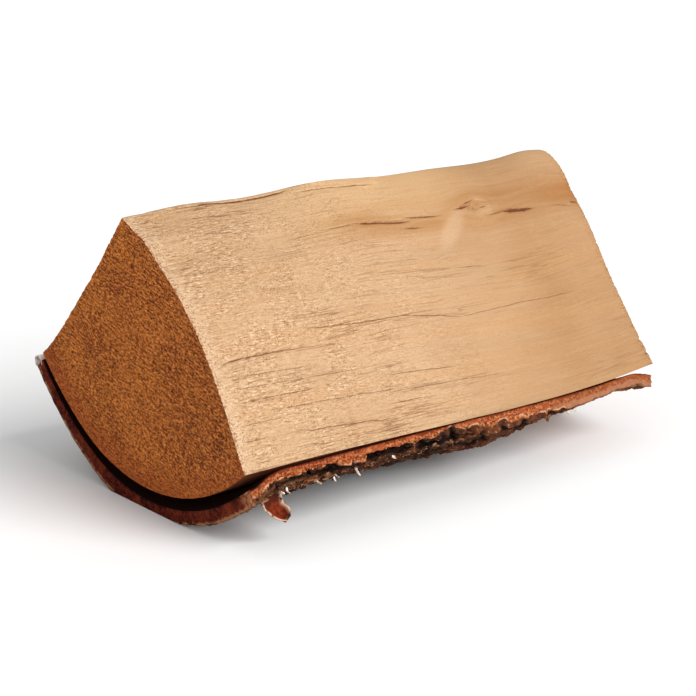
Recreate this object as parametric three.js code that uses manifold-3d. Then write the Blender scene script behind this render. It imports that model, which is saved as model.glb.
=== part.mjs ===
// A split birch firewood log: about a quarter of a round trunk, sawn square at both ends.
// It is two pieces, the block of wood and the bark that has dried and come loose from its round side.
// Millimetres. +X runs along the grain, -Y is the side of the front split face, +Z is up.
import * as THREE from "three";
import { mergeVertices } from "three/addons/utils/BufferGeometryUtils.js";
import Module from "manifold-3d";

const LENGTH = 250;

// The section at each sawn end. The pith is the centre of the tree's rings, as (y, z).
// An angle is seen from the pith, in degrees from straight down and positive towards the front.
// The ridge is the edge where the two split faces meet, as (y, z) from the pith.
const LEFT_END = {
  pith: [-8.7, 119.8],
  ridge: [17, 10.3],
  front: { radius: 108.6, angle: 40.2 },
  rear: { radius: 111.3, angle: -52.7 },
  roundness: 0.3,
  frontBow: { height: 12.5, rise: 1.2, fall: 1.4 },
  rearBow: { height: -2.5, rise: 1, fall: 1.4 },
};
const RIGHT_END = {
  pith: [-12.5, 119.2],
  ridge: [17, 10.3],
  front: { radius: 103.8, angle: 36.6 },
  rear: { radius: 106, angle: -52.7 },
  roundness: 2.2,
  frontBow: { height: 5.6, rise: 0.8, fall: 3.2 },
  rearBow: { height: -1.2, rise: 1, fall: 1 },
};
const SWELL = 2.2; // how much fuller the trunk is in the middle of its length
// How much flatter the round side is near the front edge, at the right end.
const FLANK = { height: 3.5, rise: 4, fall: 1 };
const EDGE_SAG = 3.4; // how far the front edge dips, right of the middle
const RIDGE_HUMPS = [
  { x: -92, width: 20, height: 1.4 },
  { x: -20, width: 26, height: 2.2 },
  { x: 72, width: 24, height: -0.9 },
  { x: 110, width: 13, height: 1.5 },
];

const BARK = {
  thickness: 6.4,
  taper: 0.8, // how much thinner it is at the right end
  belly: 2.2, // extra thickness along the bottom
  endSetback: 0.024, // the share of x by which its right end stops short
  clearance: 0.5, // the least gap to the wood
  frontSetback: 0.8, // degrees that its edges stop short of the corners of the wood
  rearSetback: 1.1,
  lift: 5, // how far it stands off the wood at the sawn ends
  leftRearLift: 0.3, // the share of that lift at the rear corner of the left end
  liftReach: 10, // the length over which that gap closes
};
const GROUND_REACH = 0.8; // bark this near to the ground is pressed flat on it

// The flap of bark that has torn loose at the left end of the front edge.
const FLAP = {
  size: [11, 15, 1.2],
  root: [-107.5, -70.8, 24.2],
  curl: 50, // degrees it bends over its length
  hang: 4, // degrees its root leans out from hanging straight down
  turn: 30, // degrees it is twisted towards the right end
};

// Steps of each surface.
const STEPS = { length: 28, frontFace: 14, rearFace: 10, roundSide: 20, bark: 30, flap: 7 };

const { clamp, degToRad, lerp, radToDeg, smoothstep } = THREE.MathUtils;
const wasm = await Module();
wasm.setup();

// A rise from 0 to its height and back to 0 as u goes from 0 to 1. The two powers place its top.
function bow(u, { height, rise, fall }) {
  const top = rise / (rise + fall);
  return (height * u ** rise * (1 - u) ** fall) / (top ** rise * (1 - top) ** fall);
}

function bump(value, middle, width) {
  return Math.exp(-(((value - middle) / width) ** 2));
}

function fromPith(pith, radius, angle) {
  const a = degToRad(angle);
  return new THREE.Vector2(pith.x - radius * Math.sin(a), pith.y - radius * Math.cos(a));
}

function angleFromPith(pith, point) {
  return radToDeg(Math.atan2(pith.x - point.x, pith.y - point.y));
}

// The outline's corners at x, between those of the two sawn ends.
function sectionAt(x) {
  const t = clamp(x / LENGTH + 0.5, 0, 1);
  const between = (part, key) => lerp(LEFT_END[part][key], RIGHT_END[part][key], t);
  const pith = new THREE.Vector2(between("pith", 0), between("pith", 1));
  const ridge = new THREE.Vector2(between("ridge", 0), between("ridge", 1)).add(pith);
  const front = fromPith(pith, between("front", "radius"), between("front", "angle"));
  const rear = fromPith(pith, between("rear", "radius"), between("rear", "angle"));
  for (const hump of RIDGE_HUMPS) {
    ridge.y += hump.height * bump(x, hump.x, hump.width);
  }
  front.y -= EDGE_SAG * Math.sin(Math.PI * t ** 2);
  const from = angleFromPith(pith, rear);
  const to = angleFromPith(pith, front);
  return { t, pith, ridge, front, rear, from, to };
}

// A point of a split face, u of the way from its first edge to its second. A positive bow bulges outwards.
function onSplitFace(first, second, u, t, side) {
  const across = second.clone().sub(first);
  const outwards = new THREE.Vector2(across.y, -across.x).normalize();
  const height = lerp(bow(u, LEFT_END[side]), bow(u, RIGHT_END[side]), t);
  return first.clone().addScaledVector(across, u).addScaledVector(outwards, height);
}

// The wood's radius at an angle on its round side.
function woodRadius({ t, pith, rear, front, from, to }, angle) {
  const v = clamp((angle - from) / (to - from), 0, 1);
  const even = lerp(rear.distanceTo(pith), front.distanceTo(pith), smoothstep(v, 0, 1));
  const fullness = lerp(LEFT_END.roundness, RIGHT_END.roundness, t) + SWELL * Math.sin(Math.PI * t);
  return even + fullness * Math.sin(Math.PI * v) - t * bow(v, FLANK);
}

function onRoundSide(section, v) {
  const angle = lerp(section.from, section.to, v);
  return fromPith(section.pith, woodRadius(section, angle), angle);
}

// Step number i around the block: up the front face, down the rear face, and back along the round side.
function onOutline(section, i) {
  const { t, ridge, front, rear } = section;
  const { frontFace, rearFace, roundSide } = STEPS;
  const down = i - frontFace;
  if (down < 0) {
    return onSplitFace(ridge, front, -down / frontFace, t, "frontBow");
  }
  if (down < rearFace) {
    return onSplitFace(rear, ridge, 1 - down / rearFace, t, "rearBow");
  }
  return onRoundSide(section, (down - rearFace) / roundSide);
}

// The block is a cylinder whose rings are bent to the wedge's outline. Its two ends stay flat.
function woodGeometry() {
  const around = STEPS.frontFace + STEPS.rearFace + STEPS.roundSide;
  const geometry = new THREE.CylinderGeometry(1, 1, LENGTH, around, STEPS.length);
  const place = geometry.attributes.position;
  for (let i = 0; i < place.count; i++) {
    const x = -place.getY(i);
    const section = sectionAt(x);
    const turn = Math.atan2(place.getX(i), place.getZ(i)) / (2 * Math.PI);
    const step = Math.round((turn + 1) * around) % around;
    const isHub = Math.hypot(place.getX(i), place.getZ(i)) < 0.5;
    const { ridge, front, rear } = section;
    const p = isHub ? ridge.add(front).add(rear).divideScalar(3) : onOutline(section, step);
    place.setXYZ(i, x, p.x, p.y);
  }
  return geometry;
}

// How far the bark stands off the wood, v of the way from its rear edge to its front one.
function barkGap(x, v) {
  const left = bump(x, -LENGTH / 2, BARK.liftReach) * lerp(BARK.leftRearLift, 1, smoothstep(v, 0.03, 0.5));
  const right = bump(x, LENGTH / 2, BARK.liftReach) * (1 - 0.8 * bump(v, 0.82, 0.12));
  return BARK.clearance + BARK.lift * (left + right);
}

// The bark is a flat sheet rolled round the pith.
function barkGeometry() {
  const geometry = new THREE.BoxGeometry(LENGTH, 1, 1, STEPS.length, STEPS.bark, 1);
  const place = geometry.attributes.position;
  for (let i = 0; i < place.count; i++) {
    const x = place.getX(i);
    const v = place.getY(i) + 0.5;
    const isOuter = place.getZ(i) > 0;
    const section = sectionAt(x);
    const angle = lerp(section.from + BARK.rearSetback, section.to - BARK.frontSetback, v);
    const inner = woodRadius(section, angle) + barkGap(x, v);
    const thickness = BARK.thickness - BARK.taper * section.t + BARK.belly * Math.sin(Math.PI * v) ** 4;
    const p = fromPith(section.pith, isOuter ? inner + thickness : inner, angle);
    place.setXYZ(i, x * (1 - BARK.endSetback * section.t), p.x, p.y < GROUND_REACH ? 0 : p.y);
  }
  return geometry;
}

// A strip that hangs from its top edge and bends more the further down it goes.
function flapGeometry() {
  const [width, length, thickness] = FLAP.size;
  const geometry = new THREE.BoxGeometry(width, thickness, length, 2, 1, STEPS.flap);
  const place = geometry.attributes.position;
  const bend = degToRad(FLAP.curl);
  const radius = length / bend;
  for (let i = 0; i < place.count; i++) {
    const down = 0.5 - place.getZ(i) / length;
    const out = radius + place.getY(i);
    const taper = 1 - 0.45 * down ** 2;
    const a = bend * down;
    place.setXYZ(i, place.getX(i) * taper, -radius + out * Math.cos(a), -out * Math.sin(a));
  }
  return geometry
    .rotateX(-degToRad(FLAP.hang))
    .rotateZ(degToRad(FLAP.turn))
    .translate(...FLAP.root);
}

function solidFrom(geometry) {
  geometry.deleteAttribute("normal");
  geometry.deleteAttribute("uv");
  const merged = mergeVertices(geometry, 1e-4);
  return new wasm.Manifold(
    new wasm.Mesh({
      numProp: 3,
      vertProperties: new Float32Array(merged.attributes.position.array),
      triVerts: new Uint32Array(merged.index.array),
    }),
  );
}

function piece(name, solid, look) {
  const mesh = solid.getMesh();
  const geometry = new THREE.BufferGeometry();
  geometry.setAttribute("position", new THREE.BufferAttribute(mesh.vertProperties, 3));
  geometry.setIndex(new THREE.BufferAttribute(mesh.triVerts, 1));
  geometry.computeVertexNormals();
  const object = new THREE.Mesh(geometry, new THREE.MeshStandardMaterial(look));
  object.name = name;
  return object;
}

const log = new THREE.Group();
log.name = "split_log";
log.add(
  piece("split_wood", solidFrom(woodGeometry()), { color: 0xd9b587, roughness: 0.85, metalness: 0 }),
  piece("bark", solidFrom(barkGeometry()).add(solidFrom(flapGeometry())), {
    color: 0x7a5a45,
    roughness: 0.95,
    metalness: 0,
  }),
);

export default log;
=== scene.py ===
import math

import bmesh
import bpy
import numpy as np
from mathutils import Matrix, Vector, noise


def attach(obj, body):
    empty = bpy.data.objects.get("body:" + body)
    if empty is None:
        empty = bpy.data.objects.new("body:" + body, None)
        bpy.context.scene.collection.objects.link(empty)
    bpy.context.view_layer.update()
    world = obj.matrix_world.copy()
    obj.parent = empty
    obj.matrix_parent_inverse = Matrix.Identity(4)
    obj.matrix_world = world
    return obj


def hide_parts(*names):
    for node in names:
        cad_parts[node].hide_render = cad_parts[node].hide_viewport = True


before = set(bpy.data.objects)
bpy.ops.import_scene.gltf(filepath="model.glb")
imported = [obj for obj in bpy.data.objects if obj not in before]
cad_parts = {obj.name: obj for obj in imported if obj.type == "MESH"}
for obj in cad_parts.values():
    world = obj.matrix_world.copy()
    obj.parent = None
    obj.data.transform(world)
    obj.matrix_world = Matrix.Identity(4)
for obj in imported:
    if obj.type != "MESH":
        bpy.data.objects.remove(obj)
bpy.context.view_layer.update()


# THE BLOCK. About a quarter of a round birch trunk, sawn square at both ends and split down two sides,
# so that it has two split faces that meet in a ridge, and a round side that was under the bark.
# Everything is worked out from the pith, the centre of the tree's rings.

# At each sawn end: the pith, and the ridge from it, as (y, z); the two other corners, as their distance from
# the pith and their angle in degrees from straight down; how much fuller than round the round side is; and
# how each split face bows, as a height and the powers of its rise and fall.
LENGTH = 0.25
LEFT_END = {
    "pith": (-0.0087, 0.1198),
    "ridge": (0.017, 0.0103),
    "front": (0.1086, 40.2),
    "rear": (0.1113, -52.7),
    "fullness": (0.0003,),
    "front_bow": (0.0125, 1.2, 1.4),
    "rear_bow": (-0.0025, 1.0, 1.4),
}
RIGHT_END = {
    "pith": (-0.0125, 0.1192),
    "ridge": (0.017, 0.0103),
    "front": (0.1038, 36.6),
    "rear": (0.106, -52.7),
    "fullness": (0.0022,),
    "front_bow": (0.0056, 0.8, 3.2),
    "rear_bow": (-0.0012, 1.0, 1.0),
}
SWELL = 0.0022  # how much fuller the trunk is in the middle of its length
FLANK = (0.0035, 4.0, 1.0)  # how the round side flattens near the front edge, at the right end
EDGE_SAG = 0.0034  # how far the front edge dips, right of the middle
# Each is (x, width, height).
RIDGE_HUMPS = [
    (-0.092, 0.020, 0.0014),
    (-0.020, 0.026, 0.0022),
    (0.072, 0.024, -0.0009),
    (0.110, 0.013, 0.0015),
]
FRONT_WIDTH, REAR_WIDTH, ROUND_WIDTH = 0.128, 0.106, 0.178
ROUND_START = 0.2  # where the round side starts on the map of the grain, clear of the two faces


def bow(u, height, rise, fall):
    """A swelling that starts and ends at nothing as u goes from 0 to 1."""
    top = rise / (rise + fall)
    return height * u**rise * (1 - u) ** fall / (top**rise * (1 - top) ** fall)


def smooth(value, low, high):
    s = np.clip((value - low) / (high - low), 0, 1)
    return s * s * (3 - 2 * s)


def bump(value, middle, width):
    return np.exp(-(((value - middle) / width) ** 2))


def from_pith(pith, radius, angle):
    a = np.radians(angle)
    return pith - np.stack([radius * np.sin(a), radius * np.cos(a)], -1)


def angle_at(pith, point):
    return np.degrees(np.arctan2(pith[:, 0] - point[:, 0], pith[:, 1] - point[:, 1]))


def section(x):
    """The outline's corners at each x, and the angles that its round side runs between."""
    t = np.clip(x / LENGTH + 0.5, 0, 1)

    def between(part, k=0):
        return LEFT_END[part][k] + (RIGHT_END[part][k] - LEFT_END[part][k]) * t

    pith = np.stack([between("pith"), between("pith", 1)], -1)
    ridge = pith + np.stack([between("ridge"), between("ridge", 1)], -1)
    for middle, width, height in RIDGE_HUMPS:
        ridge[:, 1] += height * bump(x, middle, width)
    ridge[:, 1] -= 0.0009 * bump(x, LENGTH / 2, 0.002)
    front = from_pith(pith, between("front"), between("front", 1))
    front[:, 1] -= EDGE_SAG * np.sin(np.pi * t**2)
    rear = from_pith(pith, between("rear"), between("rear", 1))
    fullness = between("fullness") + SWELL * np.sin(np.pi * t)
    return {
        "t": t,
        "pith": pith,
        "ridge": ridge,
        "front": front,
        "rear": rear,
        "fullness": fullness,
        "from": angle_at(pith, rear),
        "to": angle_at(pith, front),
    }


def split_face(s, first, second, u, name):
    """Points u of the way between two edges, with the face's bow, and the way out of the face."""
    across = s[second] - s[first]
    out = np.stack([across[:, 1], -across[:, 0]], -1)
    out /= np.linalg.norm(out, axis=1)[:, None]
    height = bow(u, *LEFT_END[name]) * (1 - s["t"]) + bow(u, *RIGHT_END[name]) * s["t"]
    return s[first] + across * u[:, None] + out * height[:, None], out


def wood_radius(s, angle):
    v = np.clip((angle - s["from"]) / (s["to"] - s["from"]), 0, 1)
    front = np.linalg.norm(s["front"] - s["pith"], axis=1)
    rear = np.linalg.norm(s["rear"] - s["pith"], axis=1)
    even = rear + (front - rear) * smooth(v, 0, 1)
    return even + s["fullness"] * np.sin(np.pi * v) - s["t"] * bow(v, *FLANK)


def uneven(a, b, c, octaves):
    """Natural unevenness between about -1 and 1, for arrays of places."""
    places = np.stack([a, b, np.broadcast_to(c, a.shape)], -1).tolist()
    return np.array([noise.fractal(p, 1.0, 2.0, octaves) for p in places])


def mesh_from(bm, name):
    mesh = bpy.data.meshes.new(name)
    bm.to_mesh(mesh)
    bm.free()
    return mesh


def sharpen_between_looks(bm):
    """Keep the edge sharp where one material meets another."""
    for edge in bm.edges:
        edge.smooth = len({f.material_index for f in edge.link_faces}) == 1


def places_of(mesh):
    places = np.empty((len(mesh.vertices), 3))
    mesh.vertices.foreach_get("co", places.ravel())
    return places


def set_places(mesh, *columns):
    mesh.vertices.foreach_set("co", np.column_stack(columns).ravel())


def set_marks(mesh, marks):
    """Give each vertex the numbers that the mesh's material reads by name."""
    for name, values in marks.items():
        mesh.attributes.new(name, "FLOAT", "POINT").data.foreach_set("value", values.astype(np.float32))


def corners_of(mesh):
    """The vertex at each corner of each face."""
    corners = np.empty(len(mesh.loops), int)
    mesh.loops.foreach_get("vertex_index", corners)
    return corners


def show(name, made):
    """An object at the origin that shows a mesh, or holds a lamp or a camera."""
    shown = bpy.data.objects.new(name, made)
    bpy.context.scene.collection.objects.link(shown)
    return shown


# The block starts as a round bar. Its rim has steps for the front face, the rear face and the round side.
STEPS_FRONT, STEPS_REAR, STEPS_ROUND, STEPS_ALONG, RINGS = 240, 120, 80, 125, 22
around = STEPS_FRONT + STEPS_REAR + STEPS_ROUND
bm = bmesh.new()
bmesh.ops.create_cone(bm, cap_ends=True, segments=around, radius1=1, radius2=1, depth=LENGTH)
bmesh.ops.rotate(bm, verts=bm.verts, matrix=Matrix.Rotation(math.pi / 2, 3, "Y"))
for end in [f for f in bm.faces if len(f.verts) > 4]:
    for _ in range(RINGS):
        bmesh.ops.inset_region(bm, faces=[end], thickness=1 / (RINGS + 1), use_even_offset=True)
    bmesh.ops.poke(bm, faces=[end])
long_edges = [e for e in bm.edges if abs(e.verts[0].co.x - e.verts[1].co.x) > LENGTH / 2]
bmesh.ops.subdivide_edges(bm, edges=long_edges, cuts=STEPS_ALONG - 1, use_grid_fill=True)


def turn_of(co):
    """How many steps round the rim a place of the bar is, from the front edge, up and over."""
    return np.arctan2(-co[..., 2], co[..., 1]) / (2 * np.pi) % 1 * around


SPLIT, SAWN, UNDER_BARK = 0, 1, 2
for face in bm.faces:
    middle = np.array(face.calc_center_median())
    on_round = turn_of(middle) > STEPS_FRONT + STEPS_REAR
    face.material_index = SAWN if abs(middle[0]) > 0.4999 * LENGTH else UNDER_BARK if on_round else SPLIT
    face.smooth = True
sharpen_between_looks(bm)
block = mesh_from(bm, "split_wood_block")

bar = places_of(block)
x = bar[:, 0]
ring = np.minimum(np.hypot(bar[:, 1], bar[:, 2]), 1)
turn = turn_of(bar)
is_front = turn < STEPS_FRONT
is_round = turn >= STEPS_FRONT + STEPS_REAR
is_rear = ~is_front & ~is_round
u_front = np.clip(1 - turn / STEPS_FRONT, 0, 1)
u_rear = np.clip(1 - (turn - STEPS_FRONT) / STEPS_REAR, 0, 1)
v_round = np.clip((turn - STEPS_FRONT - STEPS_REAR) / STEPS_ROUND, 0, 1)
across = np.select(
    [is_front, is_rear],
    [u_front * FRONT_WIDTH, (u_rear - 1) * REAR_WIDTH],
    ROUND_START + v_round * ROUND_WIDTH,
)

# Checks, the cracks that opened as the faces were split and dried: (x, share of the width from the ridge)
# points, half the width, and depth. A share below zero is on the rear face.
CHECKS = [
    ([(-0.017, 0.207), (-0.001, 0.216), (0.008, 0.222), (0.018, 0.225)], 0.00050, 0.0013),
    ([(-0.036, 0.213), (-0.013, 0.211)], 0.00022, 0.0006),
    ([(0.013, 0.206), (0.020, 0.212), (0.027, 0.216), (0.037, 0.220)], 0.00044, 0.0009),
    ([(0.010, 0.251), (0.023, 0.260)], 0.00042, 0.0008),
    ([(0.072, 0.241), (0.082, 0.246), (0.0945, 0.260)], 0.00110, 0.0014),
    ([(0.1185, 0.262), (0.1245, 0.268)], 0.00060, 0.0006),
    ([(0.1060, 0.268), (0.1200, 0.285)], 0.00028, 0.0004),
    ([(0.062, 0.252), (0.078, 0.243)], 0.00030, 0.0005),
    ([(0.0455, 0.204), (0.057, 0.196)], 0.00055, 0.0010),
    ([(0.0515, 0.190), (0.061, 0.172)], 0.00035, 0.0007),
    ([(0.0620, 0.214), (0.066, 0.210)], 0.00040, 0.0006),
    ([(-0.072, 0.565), (-0.040, 0.586), (-0.011, 0.590), (0.022, 0.626)], 0.00026, 0.0006),
    ([(0.022, 0.626), (0.059, 0.613), (0.097, 0.621)], 0.00018, 0.0003),
    ([(-0.121, 0.650), (-0.116, 0.633), (-0.080, 0.631)], 0.00034, 0.0008),
    ([(-0.035, 0.788), (-0.014, 0.790), (0.008, 0.803)], 0.00022, 0.0004),
    ([(-0.036, 0.888), (-0.018, 0.885)], 0.00024, 0.0004),
    ([(-0.091, 0.906), (-0.067, 0.916), (-0.049, 0.927), (-0.036, 0.936)], 0.00026, 0.0005),
    ([(-0.119, 0.776), (-0.073, 0.777)], 0.00026, 0.0005),
    ([(-0.124, 0.899), (-0.106, 0.898)], 0.00030, 0.0005),
    ([(-0.116, 0.690), (-0.095, 0.697), (-0.072, 0.700)], 0.00018, 0.0003),
    ([(-0.119, 0.730), (-0.090, 0.737), (-0.055, 0.738)], 0.00018, 0.0003),
    ([(-0.101, 0.820), (-0.062, 0.826), (-0.030, 0.838)], 0.00020, 0.0003),
    ([(-0.040, 0.846), (0.000, 0.851), (0.034, 0.862)], 0.00018, 0.0003),
    ([(-0.121, 0.846), (-0.096, 0.850)], 0.00020, 0.0003),
    ([(-0.096, 0.141), (-0.080, 0.160), (-0.071, 0.190)], 0.00028, 0.0004),
    ([(-0.092, 0.010), (-0.070, 0.013), (-0.036, 0.012)], 0.00050, 0.0007),
    ([(-0.036, 0.030), (-0.010, 0.036), (0.012, 0.046)], 0.00028, 0.0005),
    ([(0.030, 0.440), (0.048, 0.447)], 0.00025, 0.0003),
    ([(-0.115, -0.240), (-0.060, -0.255), (-0.010, -0.235)], 0.00040, 0.0008),
    ([(-0.030, -0.310), (0.020, -0.300), (0.060, -0.320)], 0.00030, 0.0006),
    ([(0.030, -0.620), (0.085, -0.600)], 0.00035, 0.0007),
    ([(-0.105, -0.560), (-0.050, -0.580)], 0.00030, 0.0006),
    ([(-0.020, -0.780), (0.045, -0.800), (0.100, -0.790)], 0.00030, 0.0006),
    ([(-0.120, -0.840), (-0.080, -0.830)], 0.00035, 0.0006),
    ([(0.070, -0.140), (0.120, -0.150)], 0.00030, 0.0006),
]
# What is kept at each point is its distance to the middle of the nearest crack, where one is near.
NO_CRACK, CRACK_NEAR, CRACK_END = 0.02, 0.0014, 0.008
crack_side = np.full(len(bar), NO_CRACK)
crack_width = np.zeros(len(bar))
crack_depth = np.zeros(len(bar))
sway = 0.00045 * uneven(x * 70, across * 12, 4.0, 3)
for points, half, depth in CHECKS:
    xs = np.array([p[0] for p in points])
    on_face, width = (is_front, FRONT_WIDTH) if points[0][1] > 0 else (is_rear, REAR_WIDTH)
    off = across + sway - np.interp(x, xs, np.array([p[1] for p in points]) * width)
    reach = min(CRACK_END, 0.5 * (xs[-1] - xs[0]))
    inside = smooth(x, xs[0] - 0.001, xs[0] + reach) * smooth(-x, -xs[-1] - 0.001, -xs[-1] + reach) * on_face
    near = (inside > 0) & (np.abs(off) < np.minimum(CRACK_NEAR, np.abs(crack_side)))
    crack_side[near] = off[near]
    crack_width[near] = (half * inside)[near]
    crack_depth = np.maximum(crack_depth, bump(off, 0, half + 0.0002) * inside * depth)

# The knot, where a side twig was overgrown, the pale scoop beside it, and the splinter that stands along
# the ridge. The width of the splinter is a share of the face's.
KNOT = (0.058, 0.206 * FRONT_WIDTH)
SCOOP = (0.0385, 0.0370)
SPLINTER_START, SPLINTER_END, SPLINTER_WIDTH = -0.034, 0.0142, 0.056
from_knot = np.hypot((x - KNOT[0]) * 0.55, across - KNOT[1]) + 0.0010 * uneven(x * 220, across * 260, 1.0, 2)
knot = bump(from_knot, 0.0010, 0.0010) * is_front
knot_collar = bump(from_knot, 0.0042, 0.0016) * smooth(x, KNOT[0] - 0.002, KNOT[0] + 0.004) * is_front
scoop_line = x - SCOOP[0] + 0.9 * (across - SCOOP[1])
scoop = smooth(bump(scoop_line, 0, 0.0066) * bump(across, SCOOP[1], 0.0098), 0.1, 0.75) * is_front
splinter_edge = SPLINTER_WIDTH * FRONT_WIDTH * smooth(x, SPLINTER_START, 0.016)
splinter = smooth(splinter_edge - across, -0.0003, 0.0006) * smooth(-x - across * 0.6, -SPLINTER_END, -0.0130)
splinter *= smooth(x, SPLINTER_START, -0.024) * is_front

# The face's relief: a slow roll, ledges where the split jumped from one ring to the next, and fibres. It is
# furry towards the left end, where the split started, and almost smooth towards the right. The shoulder is
# where the face rounds over: fuller beside the ridge at the left end, and cut back at the right one.
ROLL, LEDGE, FIBRE_RIDGES, FIBRES, TORN, NIBBLED = 0.00055, 0.0002, 0.00013, 0.00010, 0.00022, 0.00050
SHOULDER, FAR_SHOULDER, CHIPPED = 0.0013, 0.0016, 0.0011
SPLINTER_LIFT, KNOT_DIP, COLLAR_LIFT, SCOOP_DIP = 0.0011, 0.0006, 0.0004, 0.0004
ROUND_DIP, ROUND_RELIEF, LEFT_UNDERCUT = 0.00012, 0.00012, 0.0013
furry = 0.22 + 0.78 * smooth(-x, -0.02, 0.075)
roll = ROLL * uneven(x * 14, across * 22, 2.0, 2)
ledge = LEDGE * smooth(uneven(x * 5, across * 62, 7.0, 2), -0.06, 0.06) * furry
ridges = FIBRE_RIDGES * uneven(x * 32, across * 420, 0.0, 3) * furry
fibres = FIBRES * uneven(x * 150, across * 900, 5.0, 2) * furry
torn = TORN * np.clip(uneven(x * 110, across * 520, 3.0, 2), 0.15, 1) * smooth(-x, 0.03, 0.11)
near_end = np.exp(-(LENGTH / 2 - np.abs(x)) / 0.0020)
nibbled = NIBBLED * near_end * uneven(across * 1100, across * 300, x * 9, 3)
shoulder = SHOULDER * bump(u_front, 0.13, 0.06) * np.exp(-(x + LENGTH / 2) / 0.045)
shoulder = shoulder - FAR_SHOULDER * bump(u_front, 0.22, 0.10) * smooth(x, 0.085, LENGTH / 2)
chipped = bump(u_front, 0.886, 0.008) + 0.8 * bump(u_front, 0.947, 0.006) + 0.3 * bump(u_front, 0.205, 0.012)
shoulder = shoulder - CHIPPED * chipped * smooth(x, 0.119, LENGTH / 2)
relief = (roll + ledge + ridges + fibres - torn) * (is_front | is_rear) + nibbled + shoulder * is_front
relief *= np.where(is_round, 0, 1)
relief += (
    SPLINTER_LIFT * splinter - crack_depth - KNOT_DIP * knot + COLLAR_LIFT * knot_collar - SCOOP_DIP * scoop
)
relief += is_round * (-ROUND_DIP - ROUND_RELIEF * uneven(x * 40, across * 300, 6.0, 3))
relief -= LEFT_UNDERCUT * is_round * bump(v_round, 0.15, 0.13) * smooth(-x, 0.10, LENGTH / 2)

s = section(x)
on_front, out_front = split_face(s, "ridge", "front", u_front, "front_bow")
on_rear, out_rear = split_face(s, "rear", "ridge", u_rear, "rear_bow")
angle = s["from"] + (s["to"] - s["from"]) * v_round
out_round = from_pith(np.zeros((len(x), 2)), np.ones(len(x)), angle)
on_round = from_pith(s["pith"], wood_radius(s, angle), angle)
rim = np.where(is_front[:, None], on_front, np.where(is_rear[:, None], on_rear, on_round))
out = np.where(is_front[:, None], out_front, np.where(is_rear[:, None], out_rear, out_round))
rim = rim + out * relief[:, None]
hub = (s["ridge"] + s["front"] + s["rear"]) / 3
yz = hub + (rim - hub) * ring[:, None]

# The saw leaves the ends flat but furry: short fibres bent over one way, and shallow scores across.
FUR, SCORES, END_DIP = 0.00020, 0.00012, 0.0002
slope = math.radians(17)
along_scratch = yz[:, 0] * math.cos(slope) + yz[:, 1] * math.sin(slope)
across_scratch = yz[:, 1] * math.cos(slope) - yz[:, 0] * math.sin(slope)
fur = FUR * uneven(along_scratch * 160, across_scratch * 640, x * 30, 3)
scores = SCORES * uneven(along_scratch * 9, across_scratch * 150, x * 30, 2)
inside_end = smooth(1 - ring, 0.0, 0.05)
x_out = x + np.sign(x) * (fur + scores - END_DIP) * inside_end
set_places(block, x_out, yz)

marks = {
    "crack_side": crack_side,
    "crack_width": crack_width,
    "knot": knot,
    "collar": knot_collar,
    "scoop": scoop,
    "ragged_end": near_end,
}
set_marks(block, marks)

# The grain runs along the log and bends round the knot. Its map is (along, across), in metres.
corner_vertex = corners_of(block)
face_kind = np.empty(len(block.polygons), int)
block.polygons.foreach_get("material_index", face_kind)
face_size = np.empty(len(block.polygons), int)
block.polygons.foreach_get("loop_total", face_size)
corner_kind = np.repeat(face_kind, face_size)
bend = 0.75 * (across - KNOT[1]) * bump(x, KNOT[0], 0.012) * bump(across, KNOT[1], 0.010) * is_front
grain_across = across - bend + 0.0009 * uneven(x * 9, across * 12, 8.0, 2)
wraps = (corner_kind == UNDER_BARK) & is_front[corner_vertex]
grain_map = np.column_stack([x, grain_across])[corner_vertex]
grain_map[wraps, 1] = ROUND_START + ROUND_WIDTH
on_end = corner_kind == SAWN
grain_map[on_end] = yz[corner_vertex][on_end]
block.uv_layers.new(name="grain").data.foreach_set("uv", grain_map.ravel())


def shade(red, green, blue):
    """A colour given as it looks on a screen, 0 to 255, as Blender's own linear colour."""
    screen = (red / 255, green / 255, blue / 255)
    return tuple((c / 12.92 if c <= 0.04045 else ((c + 0.055) / 1.055) ** 2.4) for c in screen) + (1,)


def add(tree, kind, sockets=None, **settings):
    """One shader node, with its settings and what its sockets hold or read."""
    made = tree.nodes.new("ShaderNode" + kind)
    for name, value in settings.items():
        setattr(made, name, value)
    for name, value in (sockets or {}).items():
        if isinstance(value, bpy.types.NodeSocket):
            tree.links.new(value, made.inputs[name])
        else:
            made.inputs[name].default_value = value
    return made


def mark(tree, name):
    return add(tree, "Attribute", attribute_name=name).outputs["Fac"]


def speckle(tree, place, scale, detail, roughness=0.5):
    """Noise with so many waves to the metre."""
    sockets = {"Vector": place, "Scale": scale, "Detail": detail, "Roughness": roughness}
    return add(tree, "TexNoise", sockets).outputs["Fac"]


def stretched(tree, place, along, across, detail, roughness=0.55, shift=0.0):
    """Noise drawn out along the grain: how many waves to the metre along it and across it."""
    offset = (shift, shift * 0.7, shift * 0.3)
    moved = add(tree, "Mapping", {"Vector": place, "Location": offset, "Scale": (along, across, 0.0)})
    return speckle(tree, moved.outputs[0], 1.0, detail, roughness)


def level(tree, value, low, high, start=0.0, end=1.0):
    """How far the value has come from low to high, as a share that goes from start to end."""
    sockets = {"Value": value, "From Min": low, "From Max": high, "To Min": start, "To Max": end}
    return add(tree, "MapRange", sockets).outputs[0]


def maths(tree, operation, a, b=0.0):
    return add(tree, "Math", {0: a, 1: b}, operation=operation).outputs[0]


def times(tree, a, b):
    return maths(tree, "MULTIPLY", a, b)


def plus(tree, a, b):
    return maths(tree, "ADD", a, b)


def blend(tree, share, a, b):
    return add(tree, "Mix", {0: share, 6: a, 7: b}, data_type="RGBA").outputs[2]


def layered(tree, colour, *coats):
    """Coats of colour laid one over the other, each as the share of it that shows and its colour."""
    for share, coat in coats:
        colour = blend(tree, share, colour, coat)
    return colour


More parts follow.
